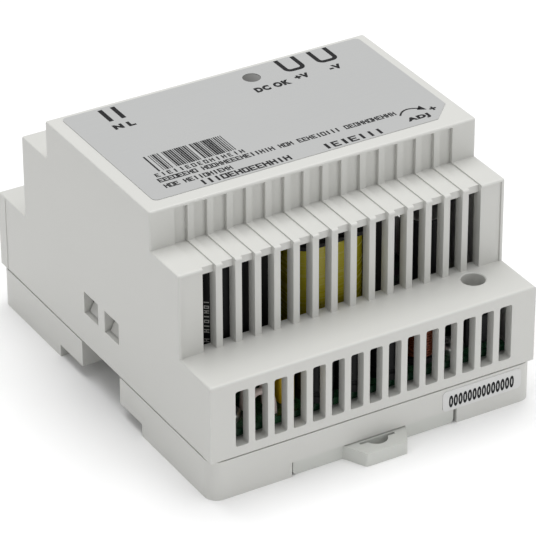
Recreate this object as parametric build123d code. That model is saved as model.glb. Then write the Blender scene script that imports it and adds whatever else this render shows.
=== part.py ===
"""DIN rail power supply: a stepped three-tier housing with its clip, terminals and circuit board.

Millimetres, Z up. The rail side is down at z = 0, X runs along the rail, the vented front is at -Y
and the terminals are at +Y. The origin is at the middle of the footprint, on the base plane.
"""
import os
from build123d import *

os.makedirs("parts", exist_ok=True)

# --- Housing -----------------------------------------------------------------------------------
width = 78.0            # along the rail
length = 93.0           # front wall to terminal wall
height = 56.0           # rail side to label side
mid_length = 68.0       # second tier
top_length = 45.0       # top tier, the standard 45 mm front window of modular devices
seam = 9.5              # top of the base, bottom of the cover
low_top = 27.4          # ledge of the lowest tier
mid_top = 47.0          # ledge of the second tier
wall = 2.3
vent_wall = 2.8         # second tier's slotted walls, before the panel is sunk
corner_radius = 3.0     # upright corners of the base and of the lowest tier
edge_radius = 0.5       # upper edges of the cover
upright_radius = 0.6    # upright corners of the two upper tiers
side_inset = 0.12       # the cover's side faces lie this far inside its front and back corners
fit_gap = 0.15          # between the base's upstand and the cover
seam_groove = 0.3       # height of the shadow groove round the base's top edge
seam_groove_depth = 0.5
floor_thickness = 2.0

half_width = width / 2
low_half = length / 2
mid_half = mid_length / 2
top_half = top_length / 2

# --- Vents -------------------------------------------------------------------------------------
slot_count = 15
slot_pitch = 4.52
slot_width = 3.04
slot_sill = 11.7        # lower row, bottom
slot_head = 24.8        # lower row, top
slot_corner = 0.5
lintel = 2.0            # bar left between the upper row and the second ledge
lintel_depth = 1.3      # its face, behind the second tier's front plane
ledge_groove = 0.35     # depth of the grooves along the second ledge
wall_groove = 0.85      # depth of the grooves up the top tier
groove_top = 0.7        # the grooves end this far below the top
panel_depth = 0.3       # the second tier's vent panel lies this far below its corner strips
panel_strip = 0.9       # width of those corner strips

# --- Rail interface ----------------------------------------------------------------------------
rail_width = 35.0       # top hat rail, 35 x 7.5
rail_flange = 1.0       # thickness of the rail's flange
seat_depth = 3.0        # the rail seat lies this far above the base plane
hook_side = 19.0        # back end of the rail channel
clip_side = -rail_width / 2
core_top = seam         # the deep middle channel is cut away up to the seam
core_back = 8.8
core_front = -8.0
lip_gap = 0.2           # between the rail's flange and the lips that hold it
lip_reach = 1.5         # how far the fixed lips and the clip's nose reach over the flange
lip_x = 20.0            # middle of each fixed lip
lip_width = 20.0

# --- Clip --------------------------------------------------------------------------------------
clip_travel = 4.5
clip_thickness = 3.3
clip_half = 19.5        # half width of the clip's front bar
clip_neck = 16.2        # half width of the clip between its guides
clip_gap = 0.2          # above and under the clip's running faces
clip_side_gap = 0.5
clip_inset = 0.5        # the front bar lies this far behind the front wall
bar_depth = 2.8
tab_length = 5.2
tab_root = 7.6          # half widths of the pull tab
tab_tip = 4.9
tab_hole_inset = 0.8    # the hole's flat side in front of the bar
tab_hole_radius = 2.5
tab_slot_half = 4.2
tab_slot_width = 0.7
peg_x = 9.0
peg_radius = 1.5
peg_stop_gap = 0.3
leaf_thickness = 0.8
leaf_room = 2.0         # room behind each spring leaf for it to bend into

# --- Snap hooks --------------------------------------------------------------------------------
window_width = 6.2
window_height = 5.2
window_sill = 17.1
window_y = (4.25, -4.85)
hook_clear = 0.3        # around each hook in its window
hook_arm = 1.9
barb_depth = 1.3        # barb's tip below the outer side face
barb_top_depth = 3.8    # barb's ramp at its top

# --- Openings for the user ---------------------------------------------------------------------
adjust_x = half_width - 9.6
adjust_y = -low_half + 9.2
adjust_radius = 2.6
adjust_tube_wall = 1.0  # guide tube under the adjuster's hole
adjust_tube_gap = 0.7   # between the tube's mouth and the trimmer's rotor
adjust_rim = 0.2        # chamfer round the hole's mouth
status_x = half_width - 31.3
status_y = top_half - 5.6
status_radius = 2.0

# --- Labels ------------------------------------------------------------------------------------
label_thickness = 0.15
label_x = (-half_width + 3.2, half_width - 2.2)
label_y = (-top_half + 3.5, top_half - 1.3)
label_cut = 5.0         # cut corner beside the adjuster's mark
label_corner = 1.2
serial_x = (half_width - 22.6, half_width - 3.1)
serial_z = (3.7, 8.5)

# --- Circuit board -----------------------------------------------------------------------------
board_bottom = 12.0
board_thickness = 1.6
board_gap = 0.8         # between the board's edge and the walls
board_top = board_bottom + board_thickness
upstand = 2.0           # the base's ring inside the cover, above the seam
upstand_wall = 1.5
screw_radius = 1.3
screw_head_radius = 2.7
screw_head = 1.8
boss_radius = 3.0
front_screws = ((-half_width + 8.5, -low_half + 7.9), (half_width - 16.2, -low_half + 6.9))
back_screws = ((-half_width + 8.0, low_half - 16.5), (half_width - 7.8, low_half - 16.5))
board_screws = front_screws + back_screws

# --- Terminals ---------------------------------------------------------------------------------
pole_pitch = 5.08
input_x = -half_width + 13.3    # middle of the two-pole block
output_x = half_width - 17.1    # middle of the four-pole block
terminal_depth = 8.6
terminal_end_wall = 0.6
terminal_floor = 0.5
clamp_radius = 1.25     # screw shank
clamp_head_radius = 1.85
clamp_head = 1.7
clamp_slot = 0.9        # depth of the driver slot
clamp_rise = 3.0        # cage travel
cage_x = 4.0
cage_y = 4.6
cage_top = 1.1
cage_bottom = 0.6
cage_side = 0.5
cage_window = 3.9
bar_thickness = 0.7
running_gap = 0.05      # round running fits
slide_gap = 0.15        # flat sliding faces

inner_x = half_width - wall
inner_y = low_half - wall
low_ceiling = low_top - wall
mid_ceiling = mid_top - wall
terminal_y = inner_y - 0.3 - terminal_depth / 2     # middle of both blocks
cage_z = board_top + terminal_floor + 0.1
bar_top = cage_z + cage_bottom + cage_window - running_gap
head_z = cage_z + cage_bottom + cage_window + cage_top + clamp_rise + 0.1
terminal_top = low_ceiling - 0.1

# --- Trimmer -----------------------------------------------------------------------------------
trimmer_size = 6.8
trimmer_height = 6.4
rotor_radius = 1.95
rotor_depth = 1.6       # sunk into the body
rotor_rise = 0.8        # above the body
driver_slot = 0.6


# --- Status light ------------------------------------------------------------------------------
led_dome = 3.6          # flange to crown
led_radius = 1.5
spacer_radius = 2.4

# --- Transformer -------------------------------------------------------------------------------
transformer_x = 2.0
transformer_y = -17.0
core_x = 30.0
core_y = 10.0
core_limb = 3.6         # outer limbs and yokes
core_centre = 4.8       # radius of the round centre limb
core_lift = 1.2
core_head_gap = 0.3      # under the second tier's ceiling
core_height = mid_ceiling - core_head_gap - board_top - core_lift
winding_x = 17.6
winding_y = 21.0
bobbin_flange = 0.9

# --- Heat sinks and power packages -------------------------------------------------------------
sink_thickness = 2.5
primary_sink_x = (-33.0, -6.0)
primary_sink_y = -4.5
secondary_sink_x = (11.0, 33.0)
secondary_sink_y = 0.5
sink_top = 50.0
tab_width = 10.2        # flat power package
tab_height = 15.8
tab_thick = 4.5
tab_lift = 6.0
pad_thick = 0.3

# --- Chokes ------------------------------------------------------------------------------------
choke_x = -20.5
choke_y = 13.5
choke_radius = 8.0
choke_bore = 4.0
choke_thick = 7.0
choke_wire = 1.1
choke_lift = 3.0
inductor_x = 24.5
inductor_y = 11.5
inductor_lift = 1.4
inductor_radius = 6.5
inductor_bore = 3.2
inductor_thick = 6.0
inductor_wire = 1.3
filter_x = 15.4
filter_y = -38.2
filter_radius = 3.9
filter_height = 10.0

# --- Capacitors: middle on the board, then radius and height, or (x, y) size and height ----------
bulk_can = (-24.0, -21.6, 9.0, 30.0)
output_cans = ((25.5, -23.8, 5.0, 25.0), (14.0, 25.5, 5.0, 20.0), (24.6, 25.5, 5.0, 20.0))
supply_cans = ((-10.6, -39.8, 4.0, 10.6), (-1.9, -39.8, 4.0, 10.6), (6.8, -39.8, 4.0, 10.6))
line_film = (-20.0, 26.0, (15.0, 8.0), 14.0)
small_film = (-17.0, -35.2, (3.6, 9.0), 10.4)
safety_disc = (3.0, 5.5, 3.6, 3.0)      # middle, then radius and thickness

# --- Mains side and control parts --------------------------------------------------------------
thermistor_disc = (1.0, 34.4, 4.3, 4.0)
varistor_disc = (-5.0, 29.2, 6.0, 4.0)
fuse_x = -12.0
fuse_y = 38.5
fuse_radius = 4.1
bridge_x = -24.0
bridge_y = 3.0
bridge_width = 15.0
bridge_pitch = 3.8
bridge_lift = 3.0
optocoupler_spot = (-3.5, 21.6, (4.8, 6.5), 3.2, 2)     # middle, size, height, legs a side
controller_spot = (-3.5, 12.0, (9.4, 6.3), 3.4, 4)
wire_spots = ((-27.5, -41.6, 6.0, 5.5), (-26.2, -37.4, 5.0, 7.0))    # start, reach and rise
wire_radius = 0.75


def block(x, y, z):
    """A box that fills three (low, high) spans."""
    place = Pos((x[0] + x[1]) / 2, (y[0] + y[1]) / 2, (z[0] + z[1]) / 2)
    return place * Box(x[1] - x[0], y[1] - y[0], z[1] - z[0])


def around(middle, size):
    """The (low, high) span of a size around its middle."""
    return (middle - size / 2, middle + size / 2)


def rod(x, y, z, radius):
    """An upright cylinder over the span z."""
    return Pos(x, y, (z[0] + z[1]) / 2) * Cylinder(radius, z[1] - z[0])


def prism(points, x):
    """A (Y, Z) outline drawn out along X over the span x."""
    face = make_face(Polyline(*points, close=True))
    return extrude(Plane((x[0], 0, 0), x_dir=(0, 1, 0), z_dir=(1, 0, 0)) * face, x[1] - x[0])


def slot_x():
    """The X positions of the vent slots."""
    first = -slot_pitch * (slot_count - 1) / 2
    return [first + slot_pitch * i for i in range(slot_count)]


def poles():
    """The X position of each terminal pole, from the input block to the output block."""
    inputs = [input_x + pole_pitch * (i - 0.5) for i in range(2)]
    outputs = [output_x + pole_pitch * (i - 1.5) for i in range(4)]
    return inputs + outputs


def save(name, shape):
    shape.label = name
    export_step(shape, f"parts/{name}.step")


# === Housing ===================================================================================
def stepped_outline(inset, vent_inset):
    """The cover's three tiers seen from the side, drawn in by inset all round but the bottom."""
    low = (low_half - inset, low_top - inset)
    middle = (mid_half - vent_inset, mid_top - inset)
    top = (top_half - inset, height - inset)
    right = []
    z = seam
    for half, ceiling in (low, middle, top):
        right.append((half, z))
        right.append((half, ceiling))
        z = ceiling
    left = [(-y, z) for y, z in reversed(right)]
    return right + left


def rounded_tiers():
    """The cover's outside: three tiers with soft edges."""
    body = prism(stepped_outline(0, 0), (-half_width, half_width))
    uprights = body.edges().filter_by(Axis.Z)
    low = [e for e in uprights if abs(e.center().Y) > low_half - 0.1]
    upper = [e for e in uprights if abs(e.center().Y) < low_half - 0.1]
    body = fillet(low, corner_radius)
    body = fillet(upper, upright_radius)
    for top, reach in ((low_top, mid_half), (mid_top, top_half), (height, 0)):
        level = body.edges().filter_by_position(Axis.Z, top - 0.01, top + 0.01)
        outer = [e for e in level if abs(e.center().Y) > reach + 0.1 or reach == 0]
        body = fillet(outer, edge_radius)
    flat = low_half - corner_radius - 0.15
    for side in (-1, 1):
        skin = sorted((side * (half_width - side_inset), side * (half_width + 1)))
        body -= block(skin, (-flat, flat), (seam - 1, height + 1))
    return body


def upper_vents(side):
    """Slots through the second tier's wall, and the grooves that lead down to them."""
    face = side * mid_half
    cuts = []
    for x in slot_x():
        span = around(x, slot_width)
        through = sorted((face + side, face - side * (vent_wall + 1)))
        cuts.append(block(span, through, (low_top, mid_top - lintel)))
        lintel_face = sorted((face + side, face - side * lintel_depth))
        cuts.append(block(span, lintel_face, (mid_top - lintel - 0.1, mid_top + 1)))
        ledge = sorted((face + side, side * (top_half - wall_groove)))
        cuts.append(block(span, ledge, (mid_top - ledge_groove, mid_top + 0.01)))
        upright = sorted((side * (top_half + 1), side * (top_half - wall_groove)))
        cuts.append(block(span, upright, (mid_top - ledge_groove, height - groove_top)))
    return cuts


def lower_vents():
    """Round-cornered slots through the lowest tier's front wall."""
    cuts = []
    slot = RectangleRounded(slot_width, slot_head - slot_sill, slot_corner)
    for x in slot_x():
        place = Pos(x, -low_half - 1, (slot_sill + slot_head) / 2) * Rot(90, 0, 0)
        cuts.append(place * extrude(slot, -(wall + 2)))
    return cuts


def cover():
    body = rounded_tiers()
    body -= prism(stepped_outline(wall, vent_wall), (-inner_x, inner_x))
    body -= block((-inner_x, inner_x), (-inner_y, inner_y), (seam - 1, seam + 1))
    for side in (-1, 1):
        panel = sorted((side * (mid_half + 1), side * (mid_half - panel_depth)))
        inner = half_width - panel_strip
        body -= block((-inner, inner), panel, (low_top, mid_top - edge_radius))
        body -= upper_vents(side)
    body -= lower_vents()
    for y in window_y:
        window = around(y, window_width)
        body -= block((-width, width), window, (window_sill, window_sill + window_height))
    tube_mouth = board_top + trimmer_height + rotor_rise + adjust_tube_gap
    tube = (tube_mouth, low_ceiling + 0.1)
    body += rod(adjust_x, adjust_y, tube, adjust_radius + adjust_tube_wall)
    body -= rod(adjust_x, adjust_y, (tube_mouth - 1, low_top + 1), adjust_radius)
    rim = Cone(adjust_radius, adjust_radius + 2 * adjust_rim, 2 * adjust_rim)
    body -= Pos(adjust_x, adjust_y, low_top) * rim
    body -= rod(status_x, status_y, (height - wall - 1, height + 1), status_radius)
    for x in poles():
        body -= rod(x, terminal_y, (low_ceiling - 1, low_top + 1), clamp_head_radius + 0.2)
        entry = (cage_z + cage_bottom - 0.3, bar_top - bar_thickness + 0.3)
        body -= block(around(x, cage_x - 0.4), (inner_y - 1, low_half + 1), entry)
    return body


def cover_tiers():
    """The cover as one solid a tier, so that no collision hull spans a step.

    The real cover is one moulding, and these solids meet face to face.
    """
    body = cover()
    tiers = []
    for level in ((seam - 1, low_top), (low_top, mid_top), (mid_top, height + 1)):
        slab = block((-width, width), (-length, length), level)
        tiers.extend((body & slab).solids())
    return Compound(tiers)


def snap_hook(side, y):
    """A springy arm on the upstand whose barb holds the cover by its window."""
    root = inner_x - fit_gap
    low = window_sill + 0.1
    high = window_sill + window_height
    outline = [
        (root - hook_arm, core_top),
        (root, core_top),
        (root, low),
        (half_width - barb_depth, low),
        (half_width - barb_top_depth, high),
        (root - hook_arm, high),
    ]
    face = make_face(Polyline(*outline, close=True))
    depth = window_width - 2 * hook_clear
    arm = extrude(Plane((0, y + depth / 2, 0), x_dir=(1, 0, 0), z_dir=(0, -1, 0)) * face, depth)
    return arm if side > 0 else mirror(arm, Plane.YZ)


def clip_recess():
    """The space that the clip slides in, without its guides."""
    recess_half = clip_half + clip_side_gap
    ceiling = clip_thickness + clip_gap
    return block((-recess_half, recess_half), (-low_half - 1, clip_side), (-1, ceiling))


def base():
    groove_z = seam - seam_groove
    lower = block((-half_width, half_width), (-low_half, low_half), (0, groove_z))
    lower = fillet(lower.edges().filter_by(Axis.Z), corner_radius)
    neck_x = half_width - seam_groove_depth
    neck_y = low_half - seam_groove_depth
    neck = block((-neck_x, neck_x), (-neck_y, neck_y), (groove_z, seam))
    lower += fillet(neck.edges().filter_by(Axis.Z), corner_radius - seam_groove_depth)
    ring_x = inner_x - fit_gap
    ring_y = inner_y - fit_gap
    body = lower + block((-ring_x, ring_x), (-ring_y, ring_y), (seam, seam + upstand))
    through = (-half_width - 1, half_width + 1)
    body -= block(through, (clip_side, hook_side), (-1, seat_depth))
    body -= block(through, (core_front, core_back), (-1, core_top))
    # Hollows: front, back under the terminals, back over the seat, and the thin middle roof.
    room = (-ring_x + upstand_wall, ring_x - upstand_wall)
    far = ring_y - upstand_wall
    over = seam + upstand + 1
    front_floor = clip_thickness + clip_gap + floor_thickness
    body -= block(room, (-far, core_front - floor_thickness), (front_floor, over))
    body -= block(room, (hook_side + floor_thickness, far), (floor_thickness, over))
    seat_floor = seat_depth + floor_thickness
    body -= block(room, (core_back + floor_thickness, hook_side + 2.1), (seat_floor, over))
    body -= block(room, (core_front - 2.1, core_back + 2.1), (core_top + 1.5, over))
    # The clip's recess, guides and pegs.
    body -= clip_recess()
    guide_top = clip_thickness / 2 - clip_gap
    guide = (-low_half + clip_inset + bar_depth + 0.4, clip_side - 4.5)
    for side in (-1, 1):
        span = sorted((side * (clip_neck + 0.4), side * (clip_half + clip_side_gap)))
        body += block(span, guide, (0, guide_top))
        body += rod(side * peg_x, peg_y(), (0.8, clip_thickness + clip_gap), peg_radius)
    # Fixed lips that hook over the far flange of the rail.
    for x in (-lip_x, lip_x):
        top = seat_depth - rail_flange - lip_gap
        reach = rail_width / 2 - lip_reach
        # Each lip is moulded through a window in the seat above it.
        body -= block(around(x, lip_width), (reach, hook_side), (top, seat_floor + 0.5))
        body += block(around(x, lip_width), (reach, hook_side + 0.5), (0.3, top))
    for x, y in board_screws:
        # Each boss stands on the floor below it.
        foot = floor_thickness / 2 if y > hook_side + floor_thickness else front_floor - 0.5
        body += rod(x, y, (foot, board_bottom), boss_radius)
        body -= rod(x, y, (front_floor + 0.5, board_bottom + 1), screw_radius + 0.02)
    for side in (-1, 1):
        for y in window_y:
            body += snap_hook(side, y)
    return body


def peg_y():
    """The pegs stand behind the clip's guides, clear of its nose."""
    return clip_side - 12.5


def din_clip():
    front = -low_half + clip_inset
    back = front + bar_depth
    shelf = clip_side - 2.0
    body = block((-clip_half, clip_half), (front, back), (0, clip_thickness))
    body = fillet(body.edges().filter_by(Axis.Y).group_by(Axis.Z)[0], 1.0)
    body += block((-clip_neck, clip_neck), (back - 0.5, clip_side), (0.3, clip_thickness))
    flange = clip_thickness / 2 + clip_gap / 2
    body += block((-clip_half, clip_half), (back - 0.1, shelf), (flange, clip_thickness))
    # The nose reaches over the near flange of the rail, ramped below so that it snaps on.
    nose_top = seat_depth - rail_flange - lip_gap
    nose = [
        (clip_side - 1, 0.3),
        (clip_side + 0.2, 0.3),
        (clip_side + lip_reach, nose_top - 0.5),
        (clip_side + lip_reach, nose_top),
        (clip_side - 1, nose_top),
    ]
    body += prism(nose, (-14, 14))
    # Two windows, each with a straight spring leaf across it, clear the base's pegs.
    for side in (-1, 1):
        span = sorted((side * (peg_x - 4), side * (peg_x + 4)))
        low = peg_y() - peg_radius - peg_stop_gap
        leaf = peg_y() + peg_radius + clip_travel + peg_stop_gap
        body -= block(span, (low, leaf), (-1, clip_thickness + 1))
        behind = leaf + leaf_thickness
        body -= block(span, (behind, behind + leaf_room), (-1, clip_thickness + 1))
    return body + pull_tab(front)


def pull_tab(front):
    """A tapered tab with a half-round hole and a narrow slot for a screwdriver."""
    tip = front - tab_length
    outline = [(-tab_root, front + 0.5), (-tab_root, front), (-tab_tip, tip)]
    outline += [(-x, y) for x, y in reversed(outline)]
    tab = extrude(make_face(Polyline(*outline, close=True)), clip_thickness - 0.1)
    tab = fillet(tab.edges().filter_by(Axis.Z).group_by(Axis.Y)[0], 0.6)
    through = (-1, clip_thickness + 1)
    chord = front - tab_hole_inset
    hole = rod(0, chord, through, tab_hole_radius)
    hole -= block((-3, 3), (chord, chord + 3), (-2, clip_thickness + 2))
    blade = block((-tab_slot_half, tab_slot_half), (chord - tab_slot_width, chord), through)
    return tab - hole - blade


def top_label():
    """A thin plate-like label with one cut corner and a hole over the status window."""
    size = (label_x[1] - label_x[0], label_y[1] - label_y[0])
    middle = ((label_x[0] + label_x[1]) / 2, (label_y[0] + label_y[1]) / 2)
    sheet = extrude(RectangleRounded(*size, label_corner), label_thickness)
    sheet = Pos(*middle, height) * sheet
    corner = [
        (label_x[1] - label_cut, label_y[0]),
        (label_x[1] + 1, label_y[0] + label_cut + 1),
        (label_x[1] + 1, label_y[0] - 1),
        (label_x[1] - label_cut, label_y[0] - 1),
    ]
    cut = extrude(make_face(Polyline(*corner, close=True)), 1)
    sheet -= Pos(0, 0, height - 0.5) * cut
    return sheet - rod(status_x, status_y, (height - 1, height + 1), status_radius)


def serial_label():
    size = (serial_x[1] - serial_x[0], serial_z[1] - serial_z[0])
    middle = ((serial_x[0] + serial_x[1]) / 2, (serial_z[0] + serial_z[1]) / 2)
    sheet = extrude(RectangleRounded(*size, 1.0), label_thickness)
    return Pos(middle[0], -low_half, middle[1]) * Rot(90, 0, 0) * sheet


def status_window():
    """A smoked light pipe, flush with the label and shouldered under the cover's top."""
    lens = rod(status_x, status_y, (height - wall - 0.2, height), status_radius - 0.03)
    return lens + rod(status_x, status_y, (height - wall - 1.0, height - wall), status_radius + 0.8)


# === Board and terminals =======================================================================
def circuit_board():
    board_x = inner_x - fit_gap - hook_arm - board_gap
    board_y = inner_y - board_gap
    body = block((-board_x, board_x), (-board_y, board_y), (board_bottom, board_top))
    for x, y in board_screws:
        body -= rod(x, y, (board_bottom - 1, board_top + 1), screw_radius + 0.2)
    return body


def board_screw_group():
    screws = []
    for x, y in board_screws:
        shank = rod(x, y, (board_bottom - 5.5, board_top + 0.1), screw_radius)
        head = rod(x, y, (board_top, board_top + screw_head), screw_head_radius)
        head = fillet(head.edges().group_by(Axis.Z)[-1], 0.6)
        top = board_top + screw_head
        for turn in (0, 90):
            cross = Box(3.2, 0.7, 1.8)
            head -= Pos(x, y, top) * Rot(0, 0, turn) * cross
        screws.append(shank + head)
    return Part() + screws


def terminal_block(xs):
    """A moulded block with a cage shaft, a wire entry and a screw well for each pole."""
    span = (xs[0] - pole_pitch / 2 - terminal_end_wall, xs[-1] + pole_pitch / 2 + terminal_end_wall)
    body = block(span, around(terminal_y, terminal_depth), (board_top, terminal_top))
    for x in xs:
        shaft_top = head_z - 0.05
        shaft = (cage_z - 0.1, shaft_top)
        body -= block(
            around(x, cage_x + 2 * slide_gap), around(terminal_y, cage_y + 2 * slide_gap), shaft
        )
        well = clamp_head_radius + running_gap
        body -= rod(x, terminal_y, (shaft_top - 0.1, terminal_top + 1), well)
        entry = (cage_z + cage_bottom, bar_top - bar_thickness)
        body -= block(around(x, cage_x - 2 * cage_side), (terminal_y, inner_y + 1), entry)
        # Slots for the contact: a way in for its bar and a way down for its leg.
        back = (terminal_y - terminal_depth / 2 - 1, terminal_y)
        bar = (bar_top - bar_thickness, bar_top)
        body -= block(around(x, contact_width()), back, (board_top - 1, bar[1]))
    return body


def contact_width():
    return cage_x - 2 * cage_side - 2 * slide_gap


def terminal_contacts():
    """Each pole's contact: a bar through the cage and a leg down to the board."""
    contacts = []
    outer = terminal_y - terminal_depth / 2 + 0.3
    for x in poles():
        span = around(x, contact_width())
        tip = terminal_y + cage_y / 2 - 0.3
        bar = block(span, (outer, tip), (bar_top - bar_thickness, bar_top))
        leg = block(span, (outer, outer + bar_thickness), (board_top, bar_top))
        contacts.append(bar + leg)
    return Part() + contacts


def terminal_screw(x):
    """A slotted screw held in its well, whose tip bears on the contact."""
    shank = rod(x, terminal_y, (bar_top + running_gap, head_z + 0.1), clamp_radius)
    head = rod(x, terminal_y, (head_z, head_z + clamp_head), clamp_head_radius)
    top = head_z + clamp_head
    slot = (top - clamp_slot, top + 1)
    head -= block(around(x, 2 * clamp_head_radius + 1), around(terminal_y, 0.7), slot)
    return shank + head


def terminal_cage(x):
    """A rising cage: its top is the nut and its bottom lifts the wire against the contact."""
    top = cage_z + cage_bottom + cage_window + cage_top
    body = block(around(x, cage_x), around(terminal_y, cage_y), (cage_z, top))
    window = (cage_z + cage_bottom, top - cage_top)
    body -= block(around(x, cage_x - 2 * cage_side), around(terminal_y, cage_y + 1), window)
    return body - rod(x, terminal_y, (cage_z + 1, top + 1), clamp_radius + running_gap)


# === Adjuster and status light =================================================================
def trimmer_body():
    top = board_top + trimmer_height
    body = block(around(adjust_x, trimmer_size), around(adjust_y, trimmer_size), (board_top, top))
    body = chamfer(body.edges().filter_by(Axis.Z), 0.5)
    well = rotor_radius + running_gap
    return body - rod(adjust_x, adjust_y, (top - rotor_depth - running_gap, top + 1), well)


def trimmer_rotor():
    top = board_top + trimmer_height
    body = rod(adjust_x, adjust_y, (top - rotor_depth, top + rotor_rise), rotor_radius)
    slot = (top + rotor_rise - 0.8, top + 3)
    body -= block(around(adjust_x, driver_slot), around(adjust_y, 2.9), slot)
    return body - block(around(adjust_x, 2.9), around(adjust_y, driver_slot), slot)


def led_z():
    """The diode's flange lies just under the status window."""
    return height - wall - 1.0 - 0.8 - led_dome


def led_spacer():
    """A tall tube that holds the diode up at the window, round its two leads."""
    body = rod(status_x, status_y, (board_top, led_z()), spacer_radius)
    for side in (-1, 1):
        body -= rod(status_x + side * 1.27, status_y, (board_top - 1, led_z() + 1), 0.35)
    return body


def status_led():
    flange = rod(status_x, status_y, (led_z(), led_z() + 0.8), led_radius + 0.3)
    crown = led_z() + led_dome - led_radius
    body = flange + rod(status_x, status_y, (led_z() + 0.5, crown), led_radius)
    return body + Pos(status_x, status_y, crown) * Sphere(led_radius)


# === Parts on the board ========================================================================
def can(x, y, radius, tall):
    """An upright electrolytic capacitor: a sleeved can with a rolled groove near its foot."""
    body = rod(x, y, (board_top, board_top + tall), radius)
    body = fillet(body.edges().group_by(Axis.Z)[-1], 0.7)
    groove = Pos(x, y, board_top + 2.2) * Torus(radius + 0.35, 0.7)
    dish = rod(x, y, (board_top + tall - 0.3, board_top + tall + 1), radius * 0.8)
    return body - groove - dish


def brick(x, y, size, tall, edge=0.6):
    """A moulded block standing on the board."""
    body = block(around(x, size[0]), around(y, size[1]), (board_top, board_top + tall))
    upper = body.edges().filter_by(Axis.Z) + body.edges().group_by(Axis.Z)[-1]
    return fillet(upper, edge)


def disc(x, y, radius, thick, lift=2.0):
    """A dipped disc on edge, on two bent leads."""
    z = board_top + lift + radius
    body = Pos(x, y, z) * Rot(90, 0, 0) * Cylinder(radius, thick)
    body = fillet(body.edges().filter_by(GeomType.CIRCLE), thick * 0.35)
    for side in (-1, 1):
        body += rod(x + side * radius * 0.6, y, (board_top, z - radius * 0.6), 0.35)
    return body


def core_z():
    return (board_top + core_lift, board_top + core_lift + core_height)


def transformer_core():
    low, high = core_z()
    spans = (around(transformer_x, core_x), around(transformer_y, core_y))
    body = block(*spans, (low, high))
    inner = around(transformer_x, core_x - 2 * core_limb)
    body -= block(inner, around(transformer_y, core_y + 1), (low + core_limb, high - core_limb))
    middle = (low + core_limb - 0.1, high - core_limb + 0.1)
    return body + rod(transformer_x, transformer_y, middle, core_centre)


def bobbin_span():
    low, high = core_z()
    return (low + core_limb + 0.1, high - core_limb - 0.1)


def transformer_bobbin():
    """A tube round the centre limb with a flange at each end."""
    low, high = bobbin_span()
    body = rod(transformer_x, transformer_y, (low, high), core_centre + 1.2)
    for z in ((low, low + bobbin_flange), (high - bobbin_flange, high)):
        plate = block(around(transformer_x, winding_x + 1.2), around(transformer_y, winding_y + 1.2), z)
        body += fillet(plate.edges().filter_by(Axis.Z), 3.0)
    return body - rod(transformer_x, transformer_y, (low - 1, high + 1), core_centre + 0.1)


def transformer_winding():
    """The taped winding between the bobbin's flanges."""
    low, high = bobbin_span()
    spans = (around(transformer_x, winding_x), around(transformer_y, winding_y))
    body = block(*spans, (low + bobbin_flange, high - bobbin_flange))
    body = fillet(body.edges().filter_by(Axis.Z), 6.0)
    return body - rod(transformer_x, transformer_y, (low, high), core_centre + 1.2)


def heat_sink(x, y):
    """A bent plate on two legs, with a folded top that faces the vents."""
    body = block(x, around(y, sink_thickness), (board_top + 2.0, sink_top))
    turn = sorted((y + sink_thickness / 2 - 0.1, y + sink_thickness / 2 + 7.0))
    body += block(x, turn, (sink_top - sink_thickness, sink_top))
    for end in (x[0] + 3, x[1] - 3):
        body += block(around(end, 2.4), around(y, 1.2), (board_top, board_top + 2.5))
    return body - screw_way(x, y)


def package_middle(x):
    return (x[0] + x[1]) / 2


def screw_way(x, y):
    z = board_top + tab_lift + tab_height - 2.8
    way = Rot(90, 0, 0) * Cylinder(1.55, 14)
    return Pos(package_middle(x), y, z) * way


def power_package(x, y):
    """A flat power package screwed to the front of its heat sink."""
    middle = package_middle(x)
    face = y - sink_thickness / 2 - pad_thick
    low = board_top + tab_lift
    plate = block(around(middle, tab_width), (face - 1.3, face), (low, low + tab_height))
    case = block(around(middle, tab_width), (face - tab_thick, face - 1.2), (low, low + 9.3))
    body = plate + case
    for side in (-1, 0, 1):
        body += block(around(middle + side * 2.54, 0.9), around(face - 2.6, 0.6), (board_top, low + 0.1))
    return body - screw_way(x, y)


def insulating_pads():
    pads = []
    for x, y in ((primary_sink_x, primary_sink_y), (secondary_sink_x, secondary_sink_y)):
        face = y - sink_thickness / 2
        low = board_top + tab_lift - 1
        pad = block(around(package_middle(x), 13), (face - pad_thick, face), (low, low + 18))
        pads.append(pad - screw_way(x, y))
    return Part() + pads


def heatsink_screws():
    screws = []
    for x, y in ((primary_sink_x, primary_sink_y), (secondary_sink_x, secondary_sink_y)):
        z = board_top + tab_lift + tab_height - 2.8
        face = y - sink_thickness / 2 - pad_thick - 1.3
        shank = Pos(package_middle(x), face + 3.0, z) * Rot(90, 0, 0) * Cylinder(1.5, 8.0)
        head = Pos(package_middle(x), face - 1.1, z) * Rot(90, 0, 0) * Cylinder(2.7, 2.2)
        cross = Pos(package_middle(x), face - 2.2, z) * Box(3.2, 1.6, 0.7)
        screws.append(shank + (head - cross))
    return Part() + screws


def choke_centre():
    return board_top + choke_lift + choke_radius + 2 * choke_wire


def line_choke_core():
    """A toroid on edge."""
    body = Cylinder(choke_radius, choke_thick) - Cylinder(choke_bore, choke_thick + 1)
    return Pos(choke_x, choke_y, choke_centre()) * Rot(90, 0, 0) * body


def line_choke_windings():
    """Two windings, each a sleeve that covers a third of the toroid."""
    gap = 0.05
    outer = Cylinder(choke_radius + choke_wire * 1.6, choke_thick + 2 * choke_wire)
    outer -= Cylinder(choke_bore - choke_wire * 1.2, choke_thick + 4 * choke_wire)
    core = Cylinder(choke_radius + gap, choke_thick + 2 * gap) - Cylinder(choke_bore - gap, choke_thick + 4)
    coil = outer - core
    windings = []
    for turn in (0, 180):
        wedge = extrude(make_face(Polyline((0, 0), (16, -13), (16, 13), close=True)), 20, both=True)
        windings.append(Rot(0, 0, turn) * (coil & wedge))
    return Pos(choke_x, choke_y, choke_centre()) * Rot(90, 0, 0) * (Part() + windings)


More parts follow.
